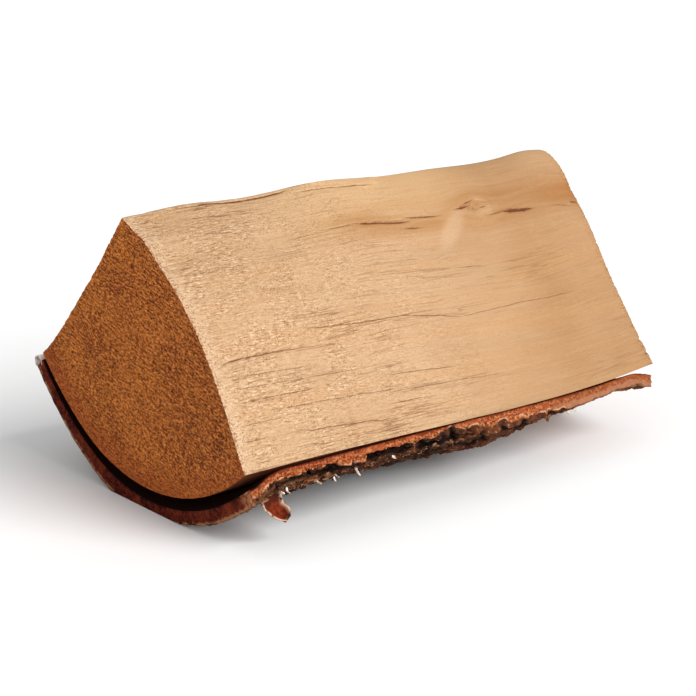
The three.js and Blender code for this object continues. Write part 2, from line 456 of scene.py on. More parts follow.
def new_group(name, inputs, outputs):
    """A group of shader nodes that several materials use, with the kinds of its named sockets."""
    group = bpy.data.node_groups.new(name, "ShaderNodeTree")
    for in_out, sockets in (("INPUT", inputs), ("OUTPUT", outputs)):
        for socket, kind in sockets.items():
            group.interface.new_socket(socket, in_out=in_out, socket_type="NodeSocket" + kind)
    return group, group.nodes.new("NodeGroupInput").outputs, group.nodes.new("NodeGroupOutput").inputs


def new_material(name, gloss=0.2):
    material = bpy.data.materials.new(name)
    material.use_nodes = True
    tree = material.node_tree
    tree.nodes.clear()
    shader = add(tree, "BsdfPrincipled", {"Roughness": 0.8, "Specular IOR Level": gloss})
    add(tree, "OutputMaterial", {"Surface": shader.outputs[0]})
    return material, tree, shader


def dress(tree, shader, colour, roughness, height, strength, distance):
    """Give a surface its colour, its roughness, and the fine relief that is too small to model."""
    tree.links.new(colour, shader.inputs["Base Color"])
    if isinstance(roughness, bpy.types.NodeSocket):
        tree.links.new(roughness, shader.inputs["Roughness"])
    else:
        shader.inputs["Roughness"].default_value = roughness
    relief = add(tree, "Bump", {"Strength": strength, "Distance": distance, "Height": height})
    tree.links.new(relief.outputs[0], shader.inputs["Normal"])


# Wood grain: broad bands, fine streaks, short flecks, and hairlines, all drawn out along the log.
# The split faces and the round side share it.
grain_parts = {"Bands": "Float", "Streaks": "Float", "Flecks": "Float", "Hairlines": "Float"}
grain, group_in, group_out = new_group("wood_grain", {"Place": "Vector"}, grain_parts)
place = group_in["Place"]
hair_wave = stretched(grain, place, 18, 480, detail=2, roughness=0.5, shift=9.0)
hair_line = level(grain, maths(grain, "ABSOLUTE", maths(grain, "SUBTRACT", hair_wave, 0.5)), 0.030, 0.010)
hair_patch = level(grain, stretched(grain, place, 14, 70, detail=2, shift=5.0), 0.44, 0.60)
flecks = stretched(grain, place, 300, 1500, detail=2, roughness=0.65, shift=7.0)
grain.links.new(stretched(grain, place, 7, 90, detail=3), group_out["Bands"])
grain.links.new(stretched(grain, place, 40, 700, detail=4, roughness=0.6, shift=3.0), group_out["Streaks"])
grain.links.new(flecks, group_out["Flecks"])
grain.links.new(times(grain, hair_line, hair_patch), group_out["Hairlines"])


def grain_of(tree, place):
    return add(tree, "Group", {"Place": place}, node_tree=grain).outputs


# The split faces: pale new wood, pinker and paler to the lower left, more tan to the right, with a brown
# stain that runs along the knot's side of the ridge. Beside the ridge, in the middle of the log, a painted
# highlight makes the face paler.
SPLIT_PALE, SPLIT_TAN, BAND_TAN = shade(184, 149, 113), shade(154, 113, 72), shade(184, 138, 92)
STREAK_DARK, STREAK_LIGHT = shade(164, 116, 74), shade(208, 174, 138)
FLECK_DARK, FLECK_LIGHT, HAIR_BROWN = shade(120, 78, 44), shade(224, 194, 160), shade(112, 72, 40)
STAIN_BROWN, FAR_STAIN_BROWN, RIDGE_PAINTED_LIGHT = shade(148, 94, 38), shade(146, 84, 34), shade(202, 164, 118)
SHEEN_PALE, SCOOP_PALE, KNOT_BROWN = shade(190, 154, 116), shade(188, 154, 120), shade(136, 80, 40)
COLLAR_PALE, END_PALE, END_BROWN = shade(194, 158, 120), shade(210, 180, 148), shade(128, 82, 46)
CRACK_BROWN, GRIT_BROWN = shade(98, 50, 24), shade(124, 84, 50)
STAIN_FROM_RIDGE = 0.0270

split_look, tree, shader = new_material("split_face")
grain_place = add(tree, "UVMap", uv_map="grain").outputs[0]
spot = add(tree, "TexCoord").outputs["Object"]
lines = grain_of(tree, grain_place)
along, over, _ = add(tree, "SeparateXYZ", {0: grain_place}).outputs
drift = speckle(tree, spot, 22.0, 3.0)
fleck_patch = speckle(tree, spot, 75.0, 2.0)
knot_wave = speckle(tree, spot, 420.0, 3.0)
grit = speckle(tree, spot, 1250.0, 1.0)
to_ridge = level(tree, over, 0.100, 0.0)
tan_share = times(tree, level(tree, along, -0.02, 0.085), level(tree, to_ridge, 0.0, 1.0, 0.72, 0.80))
to_corner = times(tree, to_ridge, level(tree, along, -0.03, -0.10, -0.05, 0.15))
tan_share = plus(tree, tan_share, to_corner)
tan_share = plus(tree, tan_share, level(tree, drift, 0.38, 0.66, -0.12, 0.12))
furry_side = level(tree, along, 0.035, -0.105, 0.08, 1.0)
furry_share = times(tree, furry_side, level(tree, fleck_patch, 0.34, 0.62, 0.35, 1.1))
streak_share = level(tree, furry_side, 0.1, 1.0, 0.4, 1.0)
streak_dark = times(tree, level(tree, lines["Streaks"], 0.52, 0.72, 0.0, 0.30), streak_share)
streak_light = times(tree, level(tree, lines["Streaks"], 0.48, 0.28, 0.0, 0.30), streak_share)
fleck_dark = times(tree, level(tree, lines["Flecks"], 0.56, 0.66), furry_share)
fleck_light = times(tree, level(tree, lines["Flecks"], 0.46, 0.34, 0.0, 0.8), furry_share)
hair_share = level(tree, furry_share, 0.1, 0.8, 0.30, 0.85)
stain_wave = stretched(tree, grain_place, 16, 150, detail=3, shift=12.0)
stain_band = maths(tree, "ABSOLUTE", maths(tree, "SUBTRACT", over, STAIN_FROM_RIDGE))
stain = times(tree, level(tree, stain_band, 0.012, 0.003), level(tree, along, -0.060, -0.010))
stain = times(tree, stain, level(tree, stain_wave, 0.36, 0.62, 0.10, 0.85))
# Painted highlight: the face is made paler beside the ridge in the middle of the log, as if more light fell
# there.
painted_light_by_ridge = times(tree, level(tree, along, -0.070, -0.030), level(tree, along, 0.075, 0.035))
painted_light_by_ridge = times(tree, painted_light_by_ridge, level(tree, over, 0.045, 0.005, 0.0, 0.5))
far_stain = times(tree, level(tree, along, 0.095, 0.124), level(tree, over, 0.012, 0.020))
far_stain = times(tree, far_stain, level(tree, over, 0.044, 0.030))
far_stain = times(tree, far_stain, level(tree, lines["Bands"], 0.42, 0.60, 0.1, 0.65))
sheen = times(tree, level(tree, along, 0.075, 0.110), level(tree, over, 0.026, 0.006))
knot_dark = times(tree, mark(tree, "knot"), level(tree, knot_wave, 0.46, 0.58, 0.0, 0.7))
collar_pale = times(tree, mark(tree, "collar"), level(tree, lines["Streaks"], 0.35, 0.60, 0.0, 0.8))
ragged_dark = times(tree, level(tree, mark(tree, "ragged_end"), 0.05, 0.7), level(tree, grit, 0.50, 0.60))
crack_side = maths(tree, "ABSOLUTE", mark(tree, "crack_side"))
crack_width = times(tree, mark(tree, "crack_width"), level(tree, lines["Flecks"], 0.40, 0.56, 0.70, 1.08))
crack_share = maths(tree, "DIVIDE", crack_side, maths(tree, "MAXIMUM", crack_width, 0.00002))
crack_mask = level(tree, crack_share, 1.15, 0.55)
crack_dark = times(tree, crack_mask, level(tree, crack_width, 0.0001, 0.0005, 0.40, 0.95))
grit_share = level(tree, furry_share, 0.0, 0.8, 0.15, 1.0)
grit_dark = times(tree, level(tree, grit, 0.54, 0.66, 0.0, 0.6), grit_share)
colour = layered(
    tree,
    blend(tree, tan_share, SPLIT_PALE, SPLIT_TAN),
    (level(tree, lines["Bands"], 0.44, 0.66, 0.0, 0.30), BAND_TAN),
    (streak_dark, STREAK_DARK),
    (streak_light, STREAK_LIGHT),
    (times(tree, fleck_dark, 0.72), FLECK_DARK),
    (fleck_light, FLECK_LIGHT),
    (times(tree, lines["Hairlines"], hair_share), HAIR_BROWN),
    (stain, STAIN_BROWN),
    (painted_light_by_ridge, RIDGE_PAINTED_LIGHT),
    (far_stain, FAR_STAIN_BROWN),
    (times(tree, sheen, 0.5), SHEEN_PALE),
    (times(tree, mark(tree, "scoop"), 0.65), SCOOP_PALE),
    (knot_dark, KNOT_BROWN),
    (collar_pale, COLLAR_PALE),
    (level(tree, along, -0.1165, -0.1230, 0.0, 0.42), END_PALE),
    (times(tree, ragged_dark, 0.7), END_BROWN),
    (crack_dark, CRACK_BROWN),
    (grit_dark, GRIT_BROWN),
)
fibre_height = times(tree, maths(tree, "SUBTRACT", 1.0, lines["Flecks"]), furry_share)
fibre_height = maths(tree, "SUBTRACT", fibre_height, times(tree, lines["Streaks"], 0.35))
fibre_height = maths(tree, "SUBTRACT", fibre_height, crack_mask)
split_roughness = level(tree, lines["Streaks"], 0.3, 0.7, 0.72, 0.9)
dress(tree, shader, colour, split_roughness, fibre_height, strength=0.5, distance=0.0004)

# The sawn ends: dark, furry end grain. The saw drags the fibres one way, and the rim under the bark is
# redder. The right end, which the lamp lights, is painted darker and greyer as shade.
SAWN_DEEP, SAWN_LIGHT, SAWN_LOW = shade(156, 80, 24), shade(184, 103, 36), shade(118, 56, 24)
FUR_DARK, FUR_LIGHT = shade(72, 26, 4), shade(238, 146, 66)
RIM_RED, FAR_END_PAINTED_SHADE = shade(150, 62, 22), shade(112, 78, 48)
PITH_BETWEEN = (0, -0.0106, 0.1195)

sawn_look, tree, shader = new_material("sawn_end")
spot = add(tree, "TexCoord").outputs["Object"]
turned = add(tree, "Mapping", {"Vector": spot, "Rotation": (-slope, 0, 0)}).outputs[0]
fur_fine = add(tree, "Mapping", {"Vector": turned, "Scale": (40, 430, 1950)}).outputs[0]
fur_long = add(tree, "Mapping", {"Vector": turned, "Scale": (40, 100, 1250)}).outputs[0]
fur = times(tree, speckle(tree, fur_fine, 1.0, 2.0, 0.7), 0.46)
fur = plus(tree, fur, times(tree, speckle(tree, fur_long, 1.0, 3.0, 0.6), 0.24))
fur = plus(tree, fur, times(tree, speckle(tree, spot, 1600.0, 1.0), 0.30))
cloud = speckle(tree, spot, 42.0, 3.0)
along, depthwise, _ = add(tree, "SeparateXYZ", {0: spot}).outputs
from_pith_line = add(tree, "VectorMath", {0: spot, 1: PITH_BETWEEN}, operation="SUBTRACT").outputs[0]
from_pith_line = add(tree, "VectorMath", {0: from_pith_line, 1: (0, 1, 1)}, operation="MULTIPLY").outputs[0]
radius = add(tree, "VectorMath", {0: from_pith_line}, operation="LENGTH").outputs["Value"]
colour = layered(
    tree,
    blend(tree, level(tree, cloud, 0.38, 0.62), SAWN_DEEP, SAWN_LIGHT),
    (level(tree, depthwise, -0.010, -0.062, 0.0, 0.35), SAWN_LOW),
    (level(tree, fur, 0.507, 0.45, 0.0, 0.95), FUR_DARK),
    (level(tree, fur, 0.515, 0.570, 0.0, 0.85), FUR_LIGHT),
    (level(tree, radius, 0.094, 0.110, 0.0, 0.5), RIM_RED),
    # painted shade: the right end, which the lamp lights, is made darker and greyer
    (level(tree, along, -0.01, 0.01, 0.0, 0.5), FAR_END_PAINTED_SHADE),
)
dress(tree, shader, colour, 0.92, fur, strength=0.7, distance=0.0008)

# The round side, seen only where the bark stands off: reddish, and painted darker still as the shade in the
# gap under the bark, with the same long grain.
UNDER_RED, UNDER_BROWN_AND_SHADE, UNDER_STREAK = shade(118, 58, 30), shade(84, 38, 20), shade(140, 82, 48)

under_look, tree, shader = new_material("under_bark_wood")
lines = grain_of(tree, add(tree, "UVMap", uv_map="grain").outputs[0])
colour = layered(
    tree,
    blend(tree, level(tree, lines["Bands"], 0.35, 0.65), UNDER_RED, UNDER_BROWN_AND_SHADE),
    (level(tree, lines["Streaks"], 0.45, 0.7, 0.0, 0.6), UNDER_STREAK),
)
dress(tree, shader, colour, 0.7, lines["Streaks"], strength=0.4, distance=0.0003)

for look in (split_look, sawn_look, under_look):
    block.materials.append(look)
wood = show("split_wood_block", block)
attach(wood, "root")
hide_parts("split_wood")


# THE BARK. One thick curved strip that still lies round the block. It has dried and come loose, so it stands
# off the wood at both ends. Inside it is smooth and red, its broken edge is crumbly orange cork, and outside
# it is a brown crust of plates and fissures.

BARK_THICKNESS, BARK_TAPER, BARK_BELLY = 0.0064, 0.0008, 0.0022
BARK_CLEARANCE, BARK_LIFT, LIFT_REACH = 0.0005, 0.005, 0.010
# Along the log the right end stops short by a share of x, and round it both edges do by some degrees.
BARK_ARC, END_SETBACK, REAR_SETBACK, BOTH_SETBACKS = 0.185, 0.024, 1.1, 1.9
DEGREES_IN_MM = 0.53
STEPS_BARK_ALONG, STEPS_BARK_AROUND, STEPS_BARK_DEEP = 296, 146, 11
# How many millimetres the broken front edge stands past its usual line, and how deep the cork shows in it
# before the crust starts, as a share of the thickness, at places along the log.
EDGE_PAST = [(-0.125, -0.3), (-0.02, 0.3), (0.0, 2.6), (0.03, 3.0), (0.05, 2.2), (0.10, 1.5), (0.125, 0.3)]
CRUST_FROM = [(-0.110, 0.62), (-0.092, 0.90), (-0.050, 0.92), (-0.034, 0.80), (-0.022, 0.74), (-0.016, 0.28)]
CRUST_FROM += [(-0.010, 0.14), (-0.004, 0.55), (0.020, 0.66), (0.038, 0.74), (0.055, 0.95), (0.08, 1.2)]
CLEFT_X = -0.0110


def along_log(x, points):
    return np.interp(x, [p[0] for p in points], [p[1] for p in points])


def in_bark(x, v, deep, slip=0.0, raised=0.0):
    """Places in the bark, v of the way round from its rear edge and deep into its thickness from inside."""
    s = section(x)
    angle = s["from"] + REAR_SETBACK + (s["to"] - s["from"] - BOTH_SETBACKS) * v + slip
    left = bump(x, -LENGTH / 2, LIFT_REACH) * (0.3 + 0.7 * smooth(v, 0.03, 0.5))
    right = bump(x, LENGTH / 2, LIFT_REACH) * (1 - 0.8 * bump(v, 0.82, 0.12))
    gap = BARK_CLEARANCE + BARK_LIFT * (left + right) + 0.0006 * smooth(v, 0.93, 1) * smooth(-x, 0.02, 0.09)
    thickness = BARK_THICKNESS - BARK_TAPER * s["t"] + BARK_BELLY * np.sin(np.pi * v) ** 4
    radius = wood_radius(s, np.minimum(angle, s["to"])) + gap + thickness * deep + raised
    return from_pith(s["pith"], radius, angle), angle


def cells(a, b):
    """Irregular patches: how near each place is to the line between two of them, and a height for each."""
    gaps, heights = [], []
    for place in np.stack([a, b, 0 * a], -1).tolist():
        distances, points = noise.voronoi(place)
        gaps.append(distances[1] - distances[0])
        heights.append(noise.cell(points[0] * 7.3))
    return np.array(gaps), np.array(heights)


def stepped_cube(*steps):
    """A cube with sides of 1 and so many steps along each axis, to be bent into a sheet or a strip."""
    cube = bmesh.new()
    bmesh.ops.create_cube(cube, size=1)
    for axis, count in enumerate(steps):
        if count > 1:
            whole = [e for e in cube.edges if abs(e.verts[0].co[axis] - e.verts[1].co[axis]) > 0.9]
            bmesh.ops.subdivide_edges(cube, edges=whole, cuts=count - 1, use_grid_fill=True)
    for face in cube.faces:
        face.smooth = True
    return cube


bm = stepped_cube(STEPS_BARK_ALONG, STEPS_BARK_AROUND, STEPS_BARK_DEEP)
for face in bm.faces:
    face.material_index = 1 if abs(face.calc_center_median().x) > 0.4999 else 0
sharpen_between_looks(bm)
strip = mesh_from(bm, "bark_strip")

# The steps round the log are closest together near the two broken edges.
sheet = places_of(strip)
v = np.interp(sheet[:, 1] + 0.5, [0, 0.05, 0.40, 1.0], [0, 0.02, 0.77, 1.0])
deep = sheet[:, 2] + 0.5
x = sheet[:, 0] * LENGTH
x = x * (1 - END_SETBACK * (sheet[:, 0] + 0.5))
arc = v * BARK_ARC
crust_from = along_log(x, CRUST_FROM)
over_crust = smooth(deep, crust_from - 0.1, crust_from + 0.15)
edge_on = smooth(v, 0.985, 1.0) * (1 - smooth(deep, 0.85, 1.0))

# The crust: plates with fissures between them, smaller chips on those, a slow roll, and crumbs.
# One long dark cleft runs up to the edge near the middle of the log, with a lump beside it.
PLATE, CHIP, ROLLING, PLATE_DIP = 0.0013, 0.0006, 0.0009, 0.0006
FISSURE, CREVICE, CRUMBLE = 0.0019, 0.0007, 0.0004
CRUST_LIFT, HOLLOW, LUMP, CLEFT, SWOLLEN = 0.0004, 0.0016, 0.0011, 0.0036, 0.0032
arc = arc + (1 - deep) * 0.0064 * smooth(v, 0.98, 1.0)
wander_x = x + 0.0035 * uneven(x * 70, arc * 70, 1.0, 2)
wander_arc = arc + 0.0025 * uneven(x * 80, arc * 80, 8.0, 2)
plate_gap, plate_height = cells(wander_x * 55, wander_arc * 105)
chip_gap, chip_height = cells(wander_x * 170 + 5, wander_arc * 260)
fissure = 1 - smooth(plate_gap, 0.03, 0.26)
crevice = 1 - smooth(chip_gap, 0.02, 0.22)
crumble = uneven(x * 430, arc * 560, 2.0, 3)
lumps = uneven(x * 60, arc * 80, 11.0, 2)
front_part = smooth(v, 0.70, 0.84)
rough = (0.45 + 0.55 * front_part) * (0.50 + 0.50 * smooth(-x, -0.075, -0.045)) * smooth(x, -0.126, -0.108)
hollow = bump(v, 0.70, 0.07) * smooth(-x, 0.085, 0.115)
from_cleft = x - CLEFT_X - (v - 1) * 0.080 + 0.0012 * uneven(x * 160, arc * 160, 9.0, 2)
cleft = bump(from_cleft, 0.0, 0.0012) * smooth(v, 0.84, 0.90)
lump = bump(from_cleft, -0.0048, 0.0030) * smooth(v, 0.82, 0.92)
rough *= 1 - 0.5 * smooth(x, 0.018, 0.070)
plates = rough * (PLATE * plate_height + CHIP * chip_height + ROLLING * lumps - PLATE_DIP)
plates = plates - rough * (FISSURE * fissure + CREVICE * crevice) + CRUMBLE * crumble
crust = CRUST_LIFT - HOLLOW * hollow + plates + LUMP * lump - CLEFT * cleft
crust = crust + SWOLLEN * bump(x, 0.024, 0.030) * smooth(v, 0.74, 0.88)

# The front edge is broken unevenly, and where the crust laps over it the same plates carry on across it.
ragged = along_log(x, EDGE_PAST) + 0.55 * uneven(x * 150, deep * 1.2, 0.0, 3)
ragged = ragged + 0.7 * uneven(x * 520, deep * 6, 5.0, 3)
ragged = ragged + over_crust * (0.5 + 620 * (plates - 0.0012 * cleft))
hole = smooth(uneven(x * 330, deep * 5, 14.0, 2), 0.16, 0.36) * bump(deep, crust_from, 0.24)
hole = hole * smooth(-x, -0.03, 0.01)
ragged = ragged - 1.6 * hole
rear_ragged = 0.35 * uneven(x * 120, deep * 2, 6.0, 3)
slip = DEGREES_IN_MM * ragged * smooth(v, 0.955, 1.0) - rear_ragged * smooth(v, 0.05, 0.0)
crust = crust * smooth(deep, 0.40, 1.0)
bast = 0.00015 * uneven(x * 30, arc * 500, 7.0, 2) * (1 - smooth(deep, 0.0, 0.3))
yz, _ = in_bark(x, v, deep, slip, crust + bast)
yz[:, 1] = np.where(deep > 0.5, np.maximum(yz[:, 1], 0), yz[:, 1])
at_end = smooth(np.abs(sheet[:, 0]), 0.499, 0.5)
fine_tear = 0.00035 * np.abs(uneven(arc * 700, deep * 9, x * 20, 2))
long_tear = 0.0007 * (x > 0) * np.abs(uneven(arc * 220, deep * 3, 2.0, 2))
torn_back = at_end * (fine_tear + long_tear)
torn_back += 0.0036 * (x > 0) * deep * smooth(x, 0.108, 0.122)
set_places(strip, x - np.sign(x) * torn_back, yz)
marks = {
    "deep": deep,
    "fissure": np.maximum(fissure * (0.35 + 0.65 * rough) * (1 - 0.6 * edge_on), cleft),
    "crevice": crevice,
    "plate": plate_height,
    "hole": hole * smooth(v, 0.97, 1.0),
    "lump": lump * (0.7 + 0.6 * crumble),
    "crust_from": crust_from,
    "edge": smooth(v, 0.93, 1.0),
}
set_marks(strip, marks)
bark_map = np.column_stack([x, arc])[corners_of(strip)]
strip.uv_layers.new(name="bark").data.foreach_set("uv", bark_map.ravel())


# The crust's colours, shared by the strip, the flap and the flakes that have come off it: brown with pale
# weathered bits, darker in patches, and more tan towards the two ends of the log.
CRUST_DARK, CRUST_BROWN, PLATE_BROWN = shade(36, 19, 12), shade(98, 58, 37), shade(102, 62, 40)
CRUST_RED, CRUST_PINK, CRUST_TAN = shade(102, 53, 27), shade(104, 60, 39), shade(142, 92, 60)
CRUST_SHADE, CRUMB_PALE, CRUMB_DARK = shade(48, 30, 22), shade(214, 186, 160), shade(26, 14, 10)

crust_sockets = {"Color": "Color", "Crumbs": "Float"}
tree, group_in, group_out = new_group("bark_crust", {"Place": "Vector", "Plate": "Float"}, crust_sockets)
crust_group = tree
spot = group_in["Place"]
crumb = speckle(tree, spot, 800.0, 3.0, 0.7)
patch = speckle(tree, spot, 120.0, 4.0, 0.65)
broad = speckle(tree, spot, 30.0, 2.0)
along = add(tree, "SeparateXYZ", {0: spot}).outputs[0]
pinker = times(tree, level(tree, along, 0.001, 0.008), level(tree, patch, 0.34, 0.54))
to_tan = plus(tree, level(tree, along, 0.055, 0.075), level(tree, along, -0.090, -0.104))
darker = times(tree, level(tree, along, 0.004, -0.006), level(tree, broad, 0.62, 0.42))
colour = layered(
    tree,
    blend(tree, level(tree, patch, 0.40, 0.60), CRUST_DARK, CRUST_BROWN),
    (times(tree, group_in["Plate"], 0.45), PLATE_BROWN),
    (level(tree, broad, 0.45, 0.62, 0.0, 0.65), CRUST_RED),
    (times(tree, pinker, 0.75), CRUST_PINK),
    (times(tree, to_tan, 0.7), CRUST_TAN),
    (times(tree, darker, 0.55), CRUST_SHADE),
    (level(tree, crumb, 0.62, 0.70, 0.0, 0.6), CRUMB_PALE),
    (level(tree, crumb, 0.44, 0.34, 0.0, 0.8), CRUMB_DARK),
)
tree.links.new(colour, group_out["Color"])
tree.links.new(plus(tree, times(tree, crumb, 0.5), patch), group_out["Crumbs"])


def crust_of(tree, spot):
    made = add(tree, "Group", {"Place": spot, "Plate": mark(tree, "plate")}, node_tree=crust_group)
    return made.outputs["Color"], made.outputs["Crumbs"]


# The strip's looks from the inside out: dark red bast, orange cork, a pale papery layer, and the crust.
# Near the left end the inside is painted black as the shade in the gap between bark and wood.
DULL = 0.06
CREVICE_PAINTED_SHADE, LUMP_BROWN, FISSURE_DARK_AND_SHADE = shade(38, 22, 15), shade(78, 56, 48), shade(20, 10, 8)
RIGHT_BROWN, RIGHT_TAN = shade(122, 70, 42), shade(176, 126, 92)
BAST_DARK, BAST_RED = shade(66, 24, 12), shade(96, 38, 20)
BAST_EDGE, GAP_PAINTED_SHADE = shade(110, 40, 20), shade(30, 10, 6)
CORK_DEEP, CORK_ORANGE, CORK_RED = shade(104, 44, 20), shade(182, 110, 66), shade(150, 66, 34)
CORK_PALE, CORK_DARK, CORK_BROWN = shade(208, 148, 106), shade(70, 26, 14), shade(138, 80, 46)
CORK_TAN, PAPER_TAN, HOLE_PAINTED_SHADE = shade(160, 110, 80), shade(204, 158, 120), shade(44, 20, 12)

bark_look, tree, shader = new_material("bark_body", DULL)
spot = add(tree, "TexCoord").outputs["Object"]
bark_place = add(tree, "UVMap", uv_map="bark").outputs[0]
along = add(tree, "SeparateXYZ", {0: spot}).outputs[0]
fine = speckle(tree, spot, 850.0, 3.0, 0.7)
blotch = speckle(tree, spot, 150.0, 3.0, 0.6)
crust_colour, crust_crumbs = crust_of(tree, spot)
right_colour = blend(tree, level(tree, blotch, 0.4, 0.6), RIGHT_BROWN, RIGHT_TAN)
crust_colour = layered(
    tree,
    crust_colour,
    # painted shade in the crevices between the chips of crust
    (times(tree, mark(tree, "crevice"), 0.55), CREVICE_PAINTED_SHADE),
    (level(tree, along, 0.066, 0.086, 0.0, 0.85), right_colour),
    (level(tree, mark(tree, "lump"), 0.3, 0.8, 0.0, 0.7), LUMP_BROWN),
    # the fissures and the cleft: dark bark, darkened further as painted shade
    (level(tree, mark(tree, "fissure"), 0.2, 0.8, 0.0, 0.95), FISSURE_DARK_AND_SHADE),
)
bast_wave = stretched(tree, bark_place, 30, 700, detail=3)
bast = blend(tree, level(tree, bast_wave, 0.35, 0.65), BAST_DARK, BAST_RED)
depth_in = mark(tree, "deep")
wavy_depth = plus(tree, depth_in, level(tree, blotch, 0.3, 0.7, -0.16, 0.16))
lower_band = times(tree, level(tree, along, 0.045, 0.065), level(tree, wavy_depth, 0.50, 0.62))
crust_edge = maths(tree, "SUBTRACT", wavy_depth, mark(tree, "crust_from"))
paper = times(tree, level(tree, crust_edge, -0.12, -0.06), level(tree, blotch, 0.46, 0.56))
cork = layered(
    tree,
    blend(tree, level(tree, fine, 0.44, 0.58), CORK_DEEP, CORK_ORANGE),
    (level(tree, blotch, 0.46, 0.62, 0.0, 0.6), CORK_RED),
    (level(tree, fine, 0.60, 0.70, 0.0, 0.6), CORK_PALE),
    (level(tree, fine, 0.38, 0.30, 0.0, 0.8), CORK_DARK),
    (times(tree, level(tree, along, 0.040, 0.060), 0.45), CORK_BROWN),
    (times(tree, lower_band, 0.8), CORK_TAN),
    (level(tree, wavy_depth, 0.20, 0.05, 0.0, 0.85), BAST_EDGE),
    (times(tree, paper, 0.75), PAPER_TAN),
    (level(tree, crust_edge, -0.02, 0.04), crust_colour),
    # painted shade in the holes of the broken edge
    (level(tree, mark(tree, "hole"), 0.25, 0.65, 0.0, 0.9), HOLE_PAINTED_SHADE),
)
# Painted shade: the inside of the bark goes black near the left end, where it stands off the wood.
painted_gap_shade = times(tree, level(tree, along, -0.106, -0.118), level(tree, depth_in, 0.2, 0.05))
colour = layered(
    tree,
    bast,
    (level(tree, depth_in, 0.02, 0.12), cork),
    (level(tree, depth_in, 0.93, 0.99), crust_colour),
    (painted_gap_shade, GAP_PAINTED_SHADE),
)
bark_roughness = level(tree, blotch, 0.3, 0.7, 0.8, 0.97)
dress(tree, shader, colour, bark_roughness, crust_crumbs, strength=0.9, distance=0.0009)

# Its sawn ends: dark red-brown, with the layers showing as lines.
SAWN_BARK_DARK, SAWN_BARK_RED, SAWN_BARK_ORANGE = shade(46, 13, 8), shade(108, 38, 20), shade(134, 58, 32)
SAWN_BAST, SAWN_RIM, SAWN_CRUST = shade(34, 12, 8), shade(176, 128, 92), shade(36, 20, 14)
LIP_BROWN, LIP_PALE = shade(126, 62, 34), shade(204, 140, 98)

bark_end_look, tree, shader = new_material("bark_end", DULL)
spot = add(tree, "TexCoord").outputs["Object"]
fine = speckle(tree, spot, 620.0, 4.0, 0.65)
coarse = speckle(tree, spot, 130.0, 2.0)
wavy_depth = plus(tree, mark(tree, "deep"), level(tree, fine, 0.3, 0.7, -0.10, 0.10))
rim_share = times(tree, level(tree, wavy_depth, 0.74, 0.88), level(tree, coarse, 0.40, 0.52))
lip_colour = blend(tree, level(tree, fine, 0.40, 0.60), LIP_BROWN, LIP_PALE)
colour = layered(
    tree,
    blend(tree, level(tree, fine, 0.38, 0.62), SAWN_BARK_DARK, SAWN_BARK_RED),
    (level(tree, wavy_depth, 0.18, 0.04, 0.0, 0.85), SAWN_BAST),
    (level(tree, coarse, 0.45, 0.62, 0.0, 0.4), SAWN_BARK_ORANGE),
    (times(tree, rim_share, 0.75), SAWN_RIM),
    (level(tree, wavy_depth, 0.92, 1.02, 0.0, 0.9), SAWN_CRUST),
    (level(tree, mark(tree, "edge"), 0.1, 0.9, 0.0, 0.9), lip_colour),
)
dress(tree, shader, colour, 0.9, fine, strength=0.9, distance=0.0008)

strip.materials.append(bark_look)
strip.materials.append(bark_end_look)
bark = show("bark_strip", strip)
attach(bark, "root")
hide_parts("bark")


# THE FLAP. A tongue of the outer bark that has torn loose at the left end of the front edge. It hangs from
# its top, curls towards the front, and its right-hand rim rolls over. All round it the rim is pale, and its
# top is painted dark as the shadow under the bark's lip.

FLAP_LENGTH, FLAP_WIDTH, FLAP_THICKNESS = 0.0175, 0.0160, 0.0008
FLAP_ROOT = (-0.1100, -0.0712, 0.0245)
FLAP_CURL, FLAP_HANG, FLAP_TURN = math.radians(50), math.radians(4), math.radians(30)

flap = mesh_from(stepped_cube(16, 3, 22), "torn_flap")
tongue = places_of(flap)
side, through, down = tongue[:, 0], tongue[:, 1], 0.5 - tongue[:, 2]
width = FLAP_WIDTH * (1.20 - 0.78 * down)
width = width * np.sqrt(np.clip(1 - ((down - 0.66) / 0.36).clip(0, 1) ** 2.2, 0.03, 1))
width = width * (1 + 0.12 * uneven(down * 5, side * 0, 3.0, 2))
roll_over = ((side - 0.12) / 0.38).clip(0, 1)
buckle = 0.0009 * uneven(side * 2.5, down * 3.0, 1.0, 2)
flap_x = side * width + 0.0048 * down - 0.0014 * roll_over**2
flap_out = through * FLAP_THICKNESS * (1 - 0.4 * down) + buckle
flap_out = flap_out - 0.0030 * roll_over**2.2 - 0.0010 * (side * 2) ** 2
bend_radius = FLAP_LENGTH / FLAP_CURL
turned = FLAP_CURL * down
flap_y = -bend_radius + (bend_radius + flap_out) * np.cos(turned)
flap_z = -(bend_radius + flap_out) * np.sin(turned) * (1 + 0.05 * uneven(side * 3, down * 0, 5.0, 2))
set_places(flap, flap_x, flap_y, flap_z)
flap.transform(
    Matrix.Translation(FLAP_ROOT) @ Matrix.Rotation(FLAP_TURN, 4, "Z") @ Matrix.Rotation(-FLAP_HANG, 4, "X")
)
rim = np.maximum(smooth(np.abs(side), 0.40, 0.49), smooth(down, 0.93, 0.99))
set_marks(flap, {"rim": rim, "plate": np.full(len(rim), 0.5), "outer": through + 0.5, "down": down})

FLAP_DEEP, FLAP_RED = shade(84, 26, 9), shade(134, 50, 18)
FLAP_PAINTED_SHADOW, RIM_PALE = shade(74, 28, 14), shade(224, 190, 162)

flap_look, tree, shader = new_material("torn_bast", gloss=0.1)
spot = add(tree, "TexCoord").outputs["Object"]
fine = speckle(tree, spot, 500.0, 3.0)
